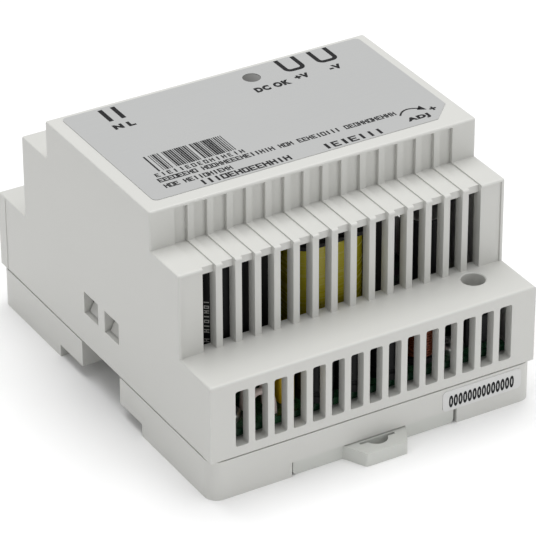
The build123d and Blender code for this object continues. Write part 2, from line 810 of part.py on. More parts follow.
def line_choke_base():
    """A moulded foot with a saddle for the toroid."""
    body = block(around(choke_x, 18), around(choke_y, 12), (board_top, board_top + choke_lift + 1.5))
    saddle = Rot(90, 0, 0) * Cylinder(choke_radius + 2 * choke_wire, 14)
    return body - Pos(choke_x, choke_y, choke_centre()) * saddle


def inductor_place():
    return Pos(inductor_x, inductor_y, board_top + inductor_lift + inductor_thick / 2)


def output_inductor_core():
    """A toroid that lies flat."""
    body = Cylinder(inductor_radius, inductor_thick) - Cylinder(inductor_bore, inductor_thick + 1)
    return inductor_place() * body


def output_inductor_winding():
    """One winding all round the toroid, as a sleeve."""
    gap = 0.05
    outer = Cylinder(inductor_radius + inductor_wire, inductor_thick + 2 * inductor_wire)
    outer -= Cylinder(inductor_bore - inductor_wire + 0.1, inductor_thick + 4)
    core = Cylinder(inductor_radius + gap, inductor_thick + 2 * gap)
    core -= Cylinder(inductor_bore - gap, inductor_thick + 1)
    return inductor_place() * (outer - core)


def filter_choke_core():
    """A drum core: two flanges on a post."""
    low, high = (board_top, board_top + filter_height)
    body = rod(filter_x, filter_y, (low + 1, high - 1), 1.8)
    for span in ((low, low + 1.2), (high - 1.2, high)):
        body += rod(filter_x, filter_y, span, filter_radius)
    return body


def filter_choke_winding():
    low, high = (board_top + 1.25, board_top + filter_height - 1.25)
    body = rod(filter_x, filter_y, (low, high), filter_radius - 0.3)
    return body - rod(filter_x, filter_y, (low - 1, high + 1), 1.85)


def jumper_wires():
    """Two insulated links that arch over the board's front left corner."""
    wires = []
    for x, y, reach, rise in wire_spots:
        start = (x, y, board_top)
        top = (x + reach / 2, y + 0.8, board_top + rise)
        path = Spline(start, top, (x + reach, y, board_top), tangents=((0, 0, 1), (0, 0, -1)))
        profile = Plane(start, z_dir=(0, 0, 1)) * Circle(wire_radius)
        wires.append(sweep(profile, path=path))
    return Part() + wires


def bridge_rectifier():
    """A single-row rectifier with a cut corner."""
    low = board_top + bridge_lift
    slab = block(around(bridge_x, bridge_width), around(bridge_y, 3.6), (low, board_top + 14))
    body = chamfer(slab.edges().filter_by(Axis.Y).group_by(Axis.Z)[-1].group_by(Axis.X)[0], 2.0)
    for i in range(4):
        leg = around(bridge_x + bridge_pitch * (i - 1.5), 1.0)
        body += block(leg, around(bridge_y, 0.6), (board_top, low + 0.1))
    return body


def fuse():
    """A pellet fuse on two leads."""
    body = rod(fuse_x, fuse_y, (board_top + 0.6, board_top + 8.0), fuse_radius)
    body = fillet(body.edges().group_by(Axis.Z)[-1], 0.5)
    for side in (-1, 1):
        body += rod(fuse_x + side * 2.5, fuse_y, (board_top, board_top + 0.7), 0.3)
    return body


def chip(x, y, size, tall, legs):
    """A small moulded chip with a row of legs along both long sides."""
    body = block(around(x, size[0]), around(y, size[1]), (board_top + 0.4, board_top + 0.4 + tall))
    body = chamfer(body.edges().group_by(Axis.Z)[-1], 0.3)
    for i in range(legs):
        place = x + size[0] * ((i + 0.5) / legs - 0.5)
        body += block(around(place, 0.6), around(y, size[1] + 1.8), (board_top, board_top + 0.5))
    return body


def build():
    save("base", base())
    save("cover", cover_tiers())
    save("din_clip", din_clip())
    save("top_label", top_label())
    save("serial_label", serial_label())
    save("status_window", status_window())
    save("circuit_board", circuit_board())
    save("board_screws", board_screw_group())
    save("input_terminal_block", terminal_block(poles()[:2]))
    save("output_terminal_block", terminal_block(poles()[2:]))
    save("terminal_contacts", terminal_contacts())
    for number, x in enumerate(poles(), 1):
        save(f"terminal_screw_{number}", terminal_screw(x))
        save(f"terminal_cage_{number}", terminal_cage(x))
    save("trimmer_body", trimmer_body())
    save("trimmer_rotor", trimmer_rotor())
    save("led_spacer", led_spacer())
    save("status_led", status_led())
    # Mains side
    save("fuse", fuse())
    save("inrush_thermistor", disc(*thermistor_disc))
    save("surge_varistor", disc(*varistor_disc))
    save("x_capacitor", brick(*line_film))
    save("line_choke_core", line_choke_core())
    save("line_choke_windings", line_choke_windings())
    save("line_choke_base", line_choke_base())
    save("bridge_rectifier", bridge_rectifier())
    save("bulk_capacitor", can(*bulk_can))
    save("y_capacitor", disc(*safety_disc))
    # Power stage
    save("transformer_core", transformer_core())
    save("transformer_bobbin", transformer_bobbin())
    save("transformer_winding", transformer_winding())
    save("primary_heatsink", heat_sink(primary_sink_x, primary_sink_y))
    save("switching_transistor", power_package(primary_sink_x, primary_sink_y))
    save("secondary_heatsink", heat_sink(secondary_sink_x, secondary_sink_y))
    save("output_diode", power_package(secondary_sink_x, secondary_sink_y))
    save("insulating_pads", insulating_pads())
    save("heatsink_screws", heatsink_screws())
    # Output side
    for number, place in enumerate(output_cans, 1):
        save(f"output_capacitor_{number}", can(*place))
    save("output_inductor_core", output_inductor_core())
    save("output_inductor_winding", output_inductor_winding())
    # Control and front row
    save("film_capacitor", brick(*small_film))
    save("filter_choke_core", filter_choke_core())
    save("filter_choke_winding", filter_choke_winding())
    for number, place in enumerate(supply_cans, 1):
        save(f"supply_capacitor_{number}", can(*place))
    save("jumper_wires", jumper_wires())
    save("optocoupler", chip(*optocoupler_spot))
    save("controller_chip", chip(*controller_spot))


build()
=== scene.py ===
"""A DIN rail power supply on a pale studio floor: finishes, print and fine pieces on the CAD frame."""
from math import cos, pi, radians, sin

import bpy
from mathutils import Matrix, Vector


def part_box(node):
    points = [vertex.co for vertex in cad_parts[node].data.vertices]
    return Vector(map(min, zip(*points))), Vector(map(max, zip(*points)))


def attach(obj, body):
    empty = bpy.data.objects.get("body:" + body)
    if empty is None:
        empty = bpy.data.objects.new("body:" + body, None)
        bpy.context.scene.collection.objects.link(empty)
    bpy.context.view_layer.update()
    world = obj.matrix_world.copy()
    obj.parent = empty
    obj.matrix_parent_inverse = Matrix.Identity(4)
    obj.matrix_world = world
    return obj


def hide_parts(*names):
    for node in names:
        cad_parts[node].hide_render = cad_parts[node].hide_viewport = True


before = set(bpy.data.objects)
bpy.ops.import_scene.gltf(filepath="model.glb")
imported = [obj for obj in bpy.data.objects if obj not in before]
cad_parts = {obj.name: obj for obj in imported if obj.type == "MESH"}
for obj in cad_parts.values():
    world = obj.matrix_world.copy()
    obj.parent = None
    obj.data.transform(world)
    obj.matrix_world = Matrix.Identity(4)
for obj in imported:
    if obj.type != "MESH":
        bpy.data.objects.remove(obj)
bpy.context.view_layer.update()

MM = 0.001

# === Studio ======================================================================================
# A seamless white table with a large soft box over it, and a long lens from the front left, as a
# catalogue shows such a unit. The camera's roll is the slight tilt of a hand-levelled tripod.
azimuth, elevation, roll = radians(-30.303), radians(30.634), radians(-0.237)
target = Vector((-28.908, -52.321, 55.355)) * MM
back = Vector((sin(azimuth) * cos(elevation), -cos(azimuth) * cos(elevation), sin(elevation)))
side = (-back).cross(Vector((0, 0, 1))).normalized()
rise = side.cross(-back)
across = side * cos(roll) + rise * sin(roll)
upward = -side * sin(roll) + rise * cos(roll)

lens = bpy.data.cameras.new("studio_camera")
lens.lens = 246.5
lens.sensor_width = 36.0
lens.clip_start = 0.01
camera = bpy.data.objects.new("studio_camera", lens)
axes = Matrix((across, upward, back)).transposed().to_4x4()
camera.matrix_world = Matrix.Translation(target + back * 714.2 * MM) @ axes
bpy.context.scene.collection.objects.link(camera)
bpy.context.scene.camera = camera
bpy.context.scene.view_settings.view_transform = "Standard"


def soft_box(name, place, aim, size, power):
    """A square area light that faces the point aim."""
    light = bpy.data.lights.new(name, "AREA")
    light.shape = "SQUARE"
    light.size = size
    light.energy = power
    lamp = bpy.data.objects.new(name, light)
    turn = (Vector(aim) - Vector(place)).to_track_quat("-Z", "Y").to_matrix().to_4x4()
    lamp.matrix_world = Matrix.Translation(place) @ turn
    bpy.context.scene.collection.objects.link(lamp)


soft_box("overhead_box", (0.05, 0.10, 0.90), (0, 0, 0.03), 0.8, 7.6)
soft_box("left_fill", (-0.90, -0.25, 0.30), (0, 0, 0.03), 0.6, 0.5)
soft_box("front_fill", (0.45, -0.90, 0.22), (0, 0, 0.03), 0.6, 1.9)

world = bpy.data.worlds.new("studio_white")
world.use_nodes = True
world.node_tree.nodes["Background"].inputs["Color"].default_value = (1, 1, 1, 1)
world.node_tree.nodes["Background"].inputs["Strength"].default_value = 0.43
bpy.context.scene.world = world


def shader_links(material):
    """The material's node tree, its Principled shader and a short way to join two sockets."""
    tree = material.node_tree
    return tree, tree.nodes["Principled BSDF"], tree.links.new


def plain_finish(name, colour, roughness, metallic=0.0, coat=0.0):
    """A material with its Principled shader's own values set."""
    material = bpy.data.materials.new(name)
    material.use_nodes = True
    shader = material.node_tree.nodes["Principled BSDF"]
    shader.inputs["Base Color"].default_value = (*colour, 1)
    shader.inputs["Roughness"].default_value = roughness
    shader.inputs["Metallic"].default_value = metallic
    shader.inputs["Coat Weight"].default_value = coat
    material.diffuse_color = (*colour, 1)
    return material


def new_piece(name, points, faces, material):
    """A mesh object from points in metres, already in place."""
    mesh = bpy.data.meshes.new(name)
    mesh.from_pydata(points, [], faces)
    mesh.materials.append(material)
    piece = bpy.data.objects.new(name, mesh)
    bpy.context.scene.collection.objects.link(piece)
    return piece


reach = 6.0
table_white = plain_finish("table_white", (0.95, 0.95, 0.95), 0.8)
table_corners = [(-reach, -reach, 0), (reach, -reach, 0), (reach, reach, 0), (-reach, reach, 0)]
new_piece("floor", table_corners, [(0, 1, 2, 3)], table_white)


# === Moulded housing: cover and base =============================================================
# Two halves injection moulded in light warm-grey flame-retardant polycarbonate, from a finely
# spark-eroded tool. The cover snaps over the base, and both come from the same batch of resin.
FLOAT, COLOUR, VECTOR = "NodeSocketFloat", "NodeSocketColor", "NodeSocketVector"


def group_tree(name, inputs, outputs):
    """A shader node group with its sockets, and its two end nodes."""
    tree = bpy.data.node_groups.new(name, "ShaderNodeTree")
    for label, kind, value in inputs:
        socket = tree.interface.new_socket(label, in_out="INPUT", socket_type=kind)
        socket.default_value = value
    for label, kind in outputs:
        tree.interface.new_socket(label, in_out="OUTPUT", socket_type=kind)
    return tree, tree.nodes.new("NodeGroupInput"), tree.nodes.new("NodeGroupOutput")


def surface_group(name):
    """Stretched noise drives the colour, gloss and fine relief, with broad clouds in the colour."""
    tree, start, end = group_tree(
        name,
        [
            ("Color", COLOUR, (0.5, 0.5, 0.5, 1)),
            ("Shade", COLOUR, (0.45, 0.45, 0.45, 1)),
            ("Stretch", VECTOR, (1, 1, 1)),
            ("Scale", FLOAT, 6000.0),
            ("Depth", FLOAT, 0.1),
            ("Gloss Low", FLOAT, 0.4),
            ("Gloss High", FLOAT, 0.5),
            ("Grain In Color", FLOAT, 0.0),
        ],
        [("Color", COLOUR), ("Roughness", FLOAT), ("Normal", VECTOR)],
    )
    add, join = tree.nodes.new, tree.links.new
    place = add("ShaderNodeTexCoord")
    stretch = add("ShaderNodeVectorMath")
    stretch.operation = "MULTIPLY"
    join(place.outputs["Object"], stretch.inputs[0])
    join(start.outputs["Stretch"], stretch.inputs[1])
    grain = add("ShaderNodeTexNoise")
    grain.inputs["Detail"].default_value = 2.5
    grain.inputs["Roughness"].default_value = 0.6
    join(stretch.outputs[0], grain.inputs["Vector"])
    join(start.outputs["Scale"], grain.inputs["Scale"])
    clouds = add("ShaderNodeTexNoise")
    clouds.inputs["Scale"].default_value = 45.0
    clouds.inputs["Detail"].default_value = 3.0
    join(place.outputs["Object"], clouds.inputs["Vector"])
    blend = add("ShaderNodeMix")
    blend.data_type = "FLOAT"
    join(start.outputs["Grain In Color"], blend.inputs[0])
    join(clouds.outputs["Fac"], blend.inputs[2])
    join(grain.outputs["Fac"], blend.inputs[3])
    tint = add("ShaderNodeMix")
    tint.data_type = "RGBA"
    join(blend.outputs[0], tint.inputs["Factor"])
    join(start.outputs["Color"], tint.inputs["A"])
    join(start.outputs["Shade"], tint.inputs["B"])
    gloss = add("ShaderNodeMapRange")
    join(grain.outputs["Fac"], gloss.inputs["Value"])
    join(start.outputs["Gloss Low"], gloss.inputs["To Min"])
    join(start.outputs["Gloss High"], gloss.inputs["To Max"])
    bump = add("ShaderNodeBump")
    bump.inputs["Distance"].default_value = 0.05 * MM
    join(start.outputs["Depth"], bump.inputs["Strength"])
    join(grain.outputs["Fac"], bump.inputs["Height"])
    join(tint.outputs["Result"], end.inputs["Color"])
    join(gloss.outputs["Result"], end.inputs["Roughness"])
    join(bump.outputs["Normal"], end.inputs["Normal"])
    return tree


surface_grain = surface_group("surface_grain")


def grained(name, colour, shade, gloss, scale=6500.0, depth=0.3, stretch=(1, 1, 1), mix=0.0, **more):
    """A finish whose colour, gloss and relief come from the grain group."""
    material = plain_finish(name, colour, gloss[0], **more)
    tree, shader, join = shader_links(material)
    group = tree.nodes.new("ShaderNodeGroup")
    group.name = "grain"
    group.node_tree = surface_grain
    group.inputs["Color"].default_value = (*colour, 1)
    group.inputs["Shade"].default_value = (*shade, 1)
    group.inputs["Stretch"].default_value = stretch
    group.inputs["Scale"].default_value = scale
    group.inputs["Depth"].default_value = depth
    group.inputs["Gloss Low"].default_value = gloss[0]
    group.inputs["Gloss High"].default_value = gloss[1]
    group.inputs["Grain In Color"].default_value = mix
    join(group.outputs["Color"], shader.inputs["Base Color"])
    join(group.outputs["Roughness"], shader.inputs["Roughness"])
    join(group.outputs["Normal"], shader.inputs["Normal"])
    return material


def dress(material, *nodes):
    """Gives CAD nodes their finish."""
    for name in nodes:
        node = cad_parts[name]
        node.data.materials.clear()
        node.data.materials.append(material)


housing_grey = grained("housing_grey", (0.60, 0.60, 0.575), (0.585, 0.585, 0.56), (0.34, 0.45))
dress(housing_grey, "cover", "base")

# === Rail clip ===================================================================================
# A sliding clip of acetal in a slightly greener grey, with a smoother face than the housing.
clip_grey = grained("clip_grey", (0.59, 0.60, 0.57), (0.57, 0.58, 0.55), (0.36, 0.44), depth=0.2)
dress(clip_grey, "din_clip")

# === Top label ===================================================================================
# A silver-grey polyester film with a faint drawn look along the rail, stuck on the top. Its
# black print is laid on it as thin films: the connection marks are plain, and rows of small
# blocks stand in for the lines of small type and for the approval marks.
label_silver = grained(
    "label_silver", (0.50, 0.505, 0.50), (0.455, 0.46, 0.458), (0.30, 0.40),
    scale=60.0, depth=0.04, stretch=(1.2, 40, 1), mix=0.55, metallic=0.2,
)
dress(label_silver, "top_label")
ink_black = grained(
    "ink_black", (0.009, 0.009, 0.010), (0.018, 0.018, 0.019), (0.42, 0.55), scale=2500.0,
    mix=1.0,
)
shader_links(ink_black)[1].inputs["Specular IOR Level"].default_value = 0.15

film_rise = 0.01 * MM
label_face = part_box("top_label")[1][2] + film_rise


def baked(holder):
    """A plain mesh from an object's evaluated geometry; the object itself goes."""
    graph = bpy.context.evaluated_depsgraph_get()
    mesh = bpy.data.meshes.new_from_object(holder.evaluated_get(graph))
    holder.modifiers.clear()
    bpy.data.objects.remove(holder)
    return mesh


def mesh_parts(mesh):
    """The mesh's points and faces as lists."""
    return [tuple(v.co) for v in mesh.vertices], [tuple(p.vertices) for p in mesh.polygons]


def lettering(text, x, y, bold):
    """Type as a flat mesh stretched over the spans x and y."""
    curve = bpy.data.curves.new("type", "FONT")
    curve.body = text
    curve.offset = bold
    curve.space_character = 1.2
    curve.resolution_u = 4
    words = bpy.data.objects.new("type", curve)
    bpy.context.scene.collection.objects.link(words)
    points, faces = mesh_parts(baked(words))
    low = [min(p[i] for p in points) for i in (0, 1)]
    high = [max(p[i] for p in points) for i in (0, 1)]
    spans = (x, y)
    fitted = []
    for p in points:
        share = [(p[i] - low[i]) / (high[i] - low[i]) for i in (0, 1)]
        fitted.append(tuple(spans[i][0] + share[i] * (spans[i][1] - spans[i][0]) for i in (0, 1)))
    return fitted, faces


def stroke(path, width):
    """A flat ribbon of even width along a 2-D path."""
    points, faces = [], []
    for i, spot in enumerate(path):
        before, after = Vector(path[max(i - 1, 0)]), Vector(path[min(i + 1, len(path) - 1)])
        here = Vector(spot)
        inward = (here - before).normalized() if i else (after - here).normalized()
        outward = (after - here).normalized() if i < len(path) - 1 else inward
        lean = (inward + outward).normalized()
        normal = Vector((-lean.y, lean.x)) * width / 2 / max(lean.dot(inward), 0.3)
        points += [tuple(here + normal), tuple(here - normal)]
        if i:
            faces.append((2 * i - 2, 2 * i - 1, 2 * i + 1, 2 * i))
    return points, faces


def joined(parts):
    """Several (points, faces) pairs as one."""
    points, faces = [], []
    for some_points, some_faces in parts:
        faces += [tuple(i + len(points) for i in face) for face in some_faces]
        points += some_points
    return points, faces


def terminal_bracket(x, y, corner):
    """A U that opens towards the terminals, drawn round two poles."""
    path = [(x[0], y[1]), (x[0], y[0] + corner)]
    for step in range(1, 6):
        angle = pi + step * pi / 10
        path.append((x[0] + corner + corner * cos(angle), y[0] + corner + corner * sin(angle)))
    for step in range(0, 6):
        angle = 1.5 * pi + step * pi / 10
        path.append((x[1] - corner + corner * cos(angle), y[0] + corner + corner * sin(angle)))
    return stroke(path + [(x[1], y[1])], bold_line)


# Widths of the lines and the weight of the type, in millimetres and in the font's own units.
bold_line = 1.05
mark_line = 0.5
arc_line = 0.42
heavy = 0.075
turn_arc = []
for step in range(13):
    t = step / 12
    turn_arc.append((
        (1 - t) ** 2 * 25.7 + 2 * t * (1 - t) * 27.8 + t * t * 31.0,
        (1 - t) ** 2 * -13.9 + 2 * t * (1 - t) * -10.8 + t * t * -13.2,
    ))
marks = [
    stroke([(-27.15, 20.4), (-27.15, 14.9)], bold_line),
    stroke([(-24.2, 20.4), (-24.2, 14.9)], bold_line),
    lettering("N", (-28.2, -26.0), (11.1, 13.15), heavy),
    lettering("L", (-25.0, -23.3), (11.0, 13.05), heavy),
    terminal_bracket((15.83, 19.88), (15.4, 20.9), 1.1),
    terminal_bracket((23.93, 27.98), (15.4, 20.9), 1.1),
    lettering("+V", (15.5, 19.0), (10.95, 13.05), heavy),
    lettering("-V", (24.0, 27.0), (10.95, 13.05), heavy),
    lettering("DC OK", (5.35, 13.9), (10.2, 12.4), heavy),
    lettering("ADJ", (25.9, 31.3), (-17.5, -15.5), heavy),
    stroke(turn_arc, arc_line),
    ([(31.4, -12.0), (30.1, -13.4), (32.0, -14.3)], [(0, 1, 2)]),
    stroke([(32.5, -14.5), (34.1, -14.5)], mark_line),
    stroke([(33.3, -13.7), (33.3, -14.25)], mark_line),
    stroke([(33.3, -14.75), (33.3, -15.3)], mark_line),
]
flat, faces = joined(marks)
label_marks = new_piece(
    "label_marks", [(p[0] * MM, p[1] * MM, label_face) for p in flat], faces, ink_black
)
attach(label_marks, "housing")


def tree_sockets(tree, inputs):
    """A Geometry Nodes tree's named inputs, with defaults, and its one output."""
    for label, kind, value in inputs:
        socket = tree.interface.new_socket(label, in_out="INPUT", socket_type=kind)
        if value is not None:
            socket.default_value = value
    tree.interface.new_socket("Geometry", in_out="OUTPUT", socket_type="NodeSocketGeometry")
    return tree.nodes.new("NodeGroupInput"), tree.nodes.new("NodeGroupOutput")


def grown(name, tree, values):
    """The mesh that a Geometry Nodes tree makes from these input values."""
    holder = bpy.data.objects.new(name, bpy.data.meshes.new(name))
    bpy.context.scene.collection.objects.link(holder)
    modifier = holder.modifiers.new("grow", "NODES")
    modifier.node_group = tree
    for socket in tree.interface.items_tree:
        if socket.in_out == "INPUT" and socket.name in values:
            modifier[socket.identifier] = values[socket.name]
    return baked(holder)


INTEGER, MATERIAL, SWITCH = "NodeSocketInt", "NodeSocketMaterial", "NodeSocketBool"


def print_row_tree():
    """A row of printed bars of random width, or of block-like letters with gaps between words."""
    tree = bpy.data.node_groups.new("print_row", "GeometryNodeTree")
    start, end = tree_sockets(tree, [
        ("Pitch", FLOAT, 1.0), ("Count", INTEGER, 10), ("Height", FLOAT, 1.0),
        ("Narrowest", FLOAT, 0.3), ("Widest", FLOAT, 0.8), ("Kept", FLOAT, 1.0),
        ("Letters", SWITCH, False), ("Seed", INTEGER, 1), ("Ink", MATERIAL, None),
    ])
    add, join = tree.nodes.new, tree.links.new
    line = add("GeometryNodeMeshLine")
    step = add("ShaderNodeCombineXYZ")
    join(start.outputs["Pitch"], step.inputs["X"])
    join(start.outputs["Count"], line.inputs["Count"])
    join(step.outputs[0], line.inputs["Offset"])

    def bar(size, place):
        grid = add("GeometryNodeMeshGrid")
        grid.inputs["Size X"].default_value, grid.inputs["Size Y"].default_value = size
        grid.inputs["Vertices X"].default_value = 2
        grid.inputs["Vertices Y"].default_value = 2
        shift = add("GeometryNodeTransform")
        shift.inputs["Translation"].default_value = (*place, 0)
        join(grid.outputs["Mesh"], shift.inputs["Geometry"])
        return shift.outputs["Geometry"]

    shapes = (
        [
            ((0.3, 1.0), (-0.35, 0)), ((0.3, 1.0), (0.35, 0)), ((0.4, 0.2), (0, 0.4)),
            ((0.4, 0.2), (0, -0.4)),
        ],
        [
            ((0.3, 1.0), (-0.35, 0)), ((0.7, 0.2), (0.15, 0.4)), ((0.55, 0.2), (0.07, 0)),
            ((0.7, 0.2), (0.15, -0.4)),
        ],
        [((0.36, 1.0), (0, 0))],
        [((0.3, 1.0), (-0.35, 0)), ((0.3, 1.0), (0.35, 0)), ((0.4, 0.24), (0, 0.05))],
    )
    alphabet = add("GeometryNodeJoinGeometry")
    for shape in shapes:
        letter = add("GeometryNodeJoinGeometry")
        for size, place in shape:
            join(bar(size, place), letter.inputs[0])
        single = add("GeometryNodeGeometryToInstance")
        join(letter.outputs[0], single.inputs[0])
        join(single.outputs[0], alphabet.inputs[0])
    choose = add("GeometryNodeSwitch")
    choose.input_type = "GEOMETRY"
    join(start.outputs["Letters"], choose.inputs["Switch"])
    join(bar((1.0, 1.0), (0, 0)), choose.inputs["False"])
    join(alphabet.outputs[0], choose.inputs["True"])

    def chance(kind, low, high, out, offset):
        random = add("FunctionNodeRandomValue")
        random.data_type = kind
        seed = add("ShaderNodeMath")
        seed.inputs[1].default_value = offset
        join(start.outputs["Seed"], seed.inputs[0])
        join(seed.outputs[0], random.inputs["Seed"])
        for index, value in ((low[0], low[1]), (high[0], high[1])):
            if isinstance(value, str):
                join(start.outputs[value], random.inputs[index])
            elif value is not None:
                random.inputs[index].default_value = value
        return random.outputs[out]

    width = add("ShaderNodeMath")
    width.operation = "MULTIPLY"
    join(chance("FLOAT", (2, "Narrowest"), (3, "Widest"), 1, 0), width.inputs[0])
    join(start.outputs["Pitch"], width.inputs[1])
    scale = add("ShaderNodeCombineXYZ")
    scale.inputs["Z"].default_value = 1.0
    join(width.outputs[0], scale.inputs["X"])
    join(start.outputs["Height"], scale.inputs["Y"])
    spread = add("GeometryNodeInstanceOnPoints")
    join(line.outputs["Mesh"], spread.inputs["Points"])
    join(choose.outputs[0], spread.inputs["Instance"])
    join(start.outputs["Letters"], spread.inputs["Pick Instance"])
    join(chance("INT", (4, 0), (5, len(shapes) - 1), 2, 1), spread.inputs["Instance Index"])
    join(chance("BOOLEAN", (6, "Kept"), (6, "Kept"), 3, 2), spread.inputs["Selection"])
    join(scale.outputs[0], spread.inputs["Scale"])
    real = add("GeometryNodeRealizeInstances")
    inked = add("GeometryNodeSetMaterial")
    join(spread.outputs["Instances"], real.inputs[0])
    join(real.outputs[0], inked.inputs["Geometry"])
    join(start.outputs["Ink"], inked.inputs["Material"])
    join(inked.outputs[0], end.inputs[0])
    return tree


print_row = print_row_tree()


def printed_row(x, y, count, height, seed, letters=True, width=(0.62, 0.84), kept=0.88):
    """One row's points and faces, from x[0] to x[1] with its middle at y."""
    pitch = (x[1] - x[0]) / count
    values = {
        "Pitch": pitch, "Count": count, "Height": height, "Narrowest": width[0],
        "Widest": width[1],
    }
    values.update({"Kept": kept, "Letters": letters, "Seed": seed, "Ink": ink_black})
    points, faces = mesh_parts(grown("row", print_row, values))
    return [(x[0] + pitch / 2 + p[0], y + p[1]) for p in points], faces


rows = [
    printed_row((-29.2, -10.8), -5.5, 36, 6.9, 7, letters=False, width=(0.3, 0.95), kept=0.85),
    printed_row((-30.9, -9.7), -10.2, 15, 1.5, 11, width=(0.62, 0.72), kept=0.94),
    printed_row((-31.2, 25.4), -12.35, 50, 1.65, 3, width=(0.86, 1.0), kept=0.9),
    printed_row((-31.2, -15.4), -14.95, 14, 1.65, 5, width=(0.86, 1.0), kept=0.94),
    printed_row((-24.3, -3.0), -17.4, 13, 2.0, 23, width=(0.86, 1.0), kept=0.92),
    printed_row((4.75, 19.5), -17.3, 7, 2.2, 9, width=(0.84, 0.98), kept=0.9),
]
flat, faces = joined(rows)
label_rows = new_piece(
    "label_rows", [(p[0] * MM, p[1] * MM, label_face) for p in flat], faces, ink_black
)
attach(label_rows, "housing")

# === Serial label ================================================================================
# A small white paper label on the base's front, printed with a row of noughts by a thermal
# transfer printer, with a hairline where its die-cut edge catches the light.
serial_white = grained(
    "serial_white", (0.66, 0.66, 0.655), (0.63, 0.63, 0.625), (0.5, 0.6), scale=3000.0, mix=0.5,
)
dress(serial_white, "serial_label")
flat, faces = lettering("00000000000000", (17.9, 34.1), (4.35, 7.3), 0.055)
serial_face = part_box("serial_label")[0][1] - film_rise
serial_print = new_piece(
    "serial_print", [(p[0] * MM, serial_face, p[1] * MM) for p in flat], faces, ink_black
)
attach(serial_print, "housing")

# === Status window and light =====================================================================
# A disc of smoked polycarbonate glued into the top, glossy and almost black, with a painted
# reflection of the room: its colour is painted paler towards +X. Under it stands a green 3 mm
# light in a black spacer.
smoked = grained(
    "smoked_lens", (0.085, 0.085, 0.08), (0.095, 0.095, 0.09), (0.12, 0.2), depth=0.05, coat=0.5,
)
tree, shader, join = shader_links(smoked)
lens_low, lens_high = (Vector(corner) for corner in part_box("status_window"))
# Painted reflection: the base colour is mixed towards a pale grey as X rises across the disc.
place = tree.nodes.new("ShaderNodeTexCoord")
split = tree.nodes.new("ShaderNodeSeparateXYZ")
join(place.outputs["Object"], split.inputs[0])
reflection_ramp = tree.nodes.new("ShaderNodeMapRange")
reflection_ramp.inputs["From Min"].default_value = lens_low.x + 1.6 * MM
reflection_ramp.inputs["From Max"].default_value = lens_high.x
join(split.outputs["X"], reflection_ramp.inputs["Value"])
pale = tree.nodes.new("ShaderNodeMix")
pale.data_type = "RGBA"
pale.inputs["B"].default_value = (0.2, 0.2, 0.195, 1)
join(reflection_ramp.outputs["Result"], pale.inputs["Factor"])
join(tree.nodes["grain"].outputs["Color"], pale.inputs["A"])
join(pale.outputs["Result"], shader.inputs["Base Color"])
dress(smoked, "status_window")

led_green = grained(
    "led_green", (0.16, 0.42, 0.14), (0.13, 0.36, 0.12), (0.15, 0.22), depth=0.05, coat=0.3,
)
led_green.node_tree.nodes["Principled BSDF"].inputs["Transmission Weight"].default_value = 0.35
dress(led_green, "status_led")
spacer_black = grained("spacer_black", (0.012, 0.012, 0.012), (0.018, 0.018, 0.018), (0.45, 0.55))
dress(spacer_black, "led_spacer")

# === Circuit board ===============================================================================
# Glass epoxy laminate under a green solder mask, with routed edges. The tracks show as slightly
# raised, paler bands where the mask runs over copper.
board_green = grained(
    "board_green", (0.005, 0.030, 0.013), (0.008, 0.040, 0.018), (0.22, 0.34), coat=0.2,
)
tree, shader, join = shader_links(board_green)
place = tree.nodes.new("ShaderNodeTexCoord")
tracks = tree.nodes.new("ShaderNodeTexBrick")
tracks.inputs["Scale"].default_value = 90.0
tracks.inputs["Mortar Size"].default_value = 0.09
tracks.inputs["Mortar Smooth"].default_value = 0.1
tracks.inputs["Brick Width"].default_value = 1.3
tracks.inputs["Row Height"].default_value = 0.42
join(place.outputs["Object"], tracks.inputs["Vector"])
masked = tree.nodes.new("ShaderNodeMix")
masked.data_type = "RGBA"
masked.inputs["B"].default_value = (0.014, 0.07, 0.028, 1)
join(tracks.outputs["Fac"], masked.inputs["Factor"])
join(tree.nodes["grain"].outputs["Color"], masked.inputs["A"])
join(masked.outputs["Result"], shader.inputs["Base Color"])
raised = tree.nodes.new("ShaderNodeBump")
raised.inputs["Strength"].default_value = 0.5
raised.inputs["Distance"].default_value = 0.04 * MM
join(tracks.outputs["Fac"], raised.inputs["Height"])
join(tree.nodes["grain"].outputs["Normal"], raised.inputs["Normal"])
join(raised.outputs["Normal"], shader.inputs["Normal"])
dress(board_green, "circuit_board")

# === Screws and contact metal ====================================================================
# Turned and rolled steel screws in clear zinc, pressed cages in the same plate, and contact bars
# of tinned copper. Turning leaves rings on the heads, and pressing leaves a drawn grain.
zinc_steel = grained(
    "zinc_steel", (0.66, 0.66, 0.63), (0.52, 0.53, 0.52), (0.22, 0.38),
    scale=900.0, depth=0.25, stretch=(1, 1, 6), mix=0.7, metallic=1.0,
)
dress(zinc_steel, "board_screws", "heatsink_screws", *[f"terminal_screw_{i}" for i in range(1, 7)])
cage_plate = grained(
    "cage_plate", (0.60, 0.58, 0.50), (0.48, 0.47, 0.41), (0.28, 0.42),
    scale=700.0, depth=0.2, stretch=(1, 7, 1), mix=0.6, metallic=1.0,
)
dress(cage_plate, *[f"terminal_cage_{i}" for i in range(1, 7)])
tinned_copper = grained(
    "tinned_copper", (0.70, 0.66, 0.60), (0.56, 0.50, 0.44), (0.25, 0.4),
    scale=600.0, depth=0.2, stretch=(7, 1, 1), mix=0.6, metallic=1.0,
)
dress(tinned_copper, "terminal_contacts")

# === Terminal blocks =============================================================================
# Glass-filled nylon, moulded in dark green, with the dull face that the glass leaves.
terminal_green = grained(
    "terminal_green", (0.02, 0.10, 0.045), (0.026, 0.115, 0.055), (0.5, 0.62), depth=0.5,
)
dress(terminal_green, "input_terminal_block", "output_terminal_block")

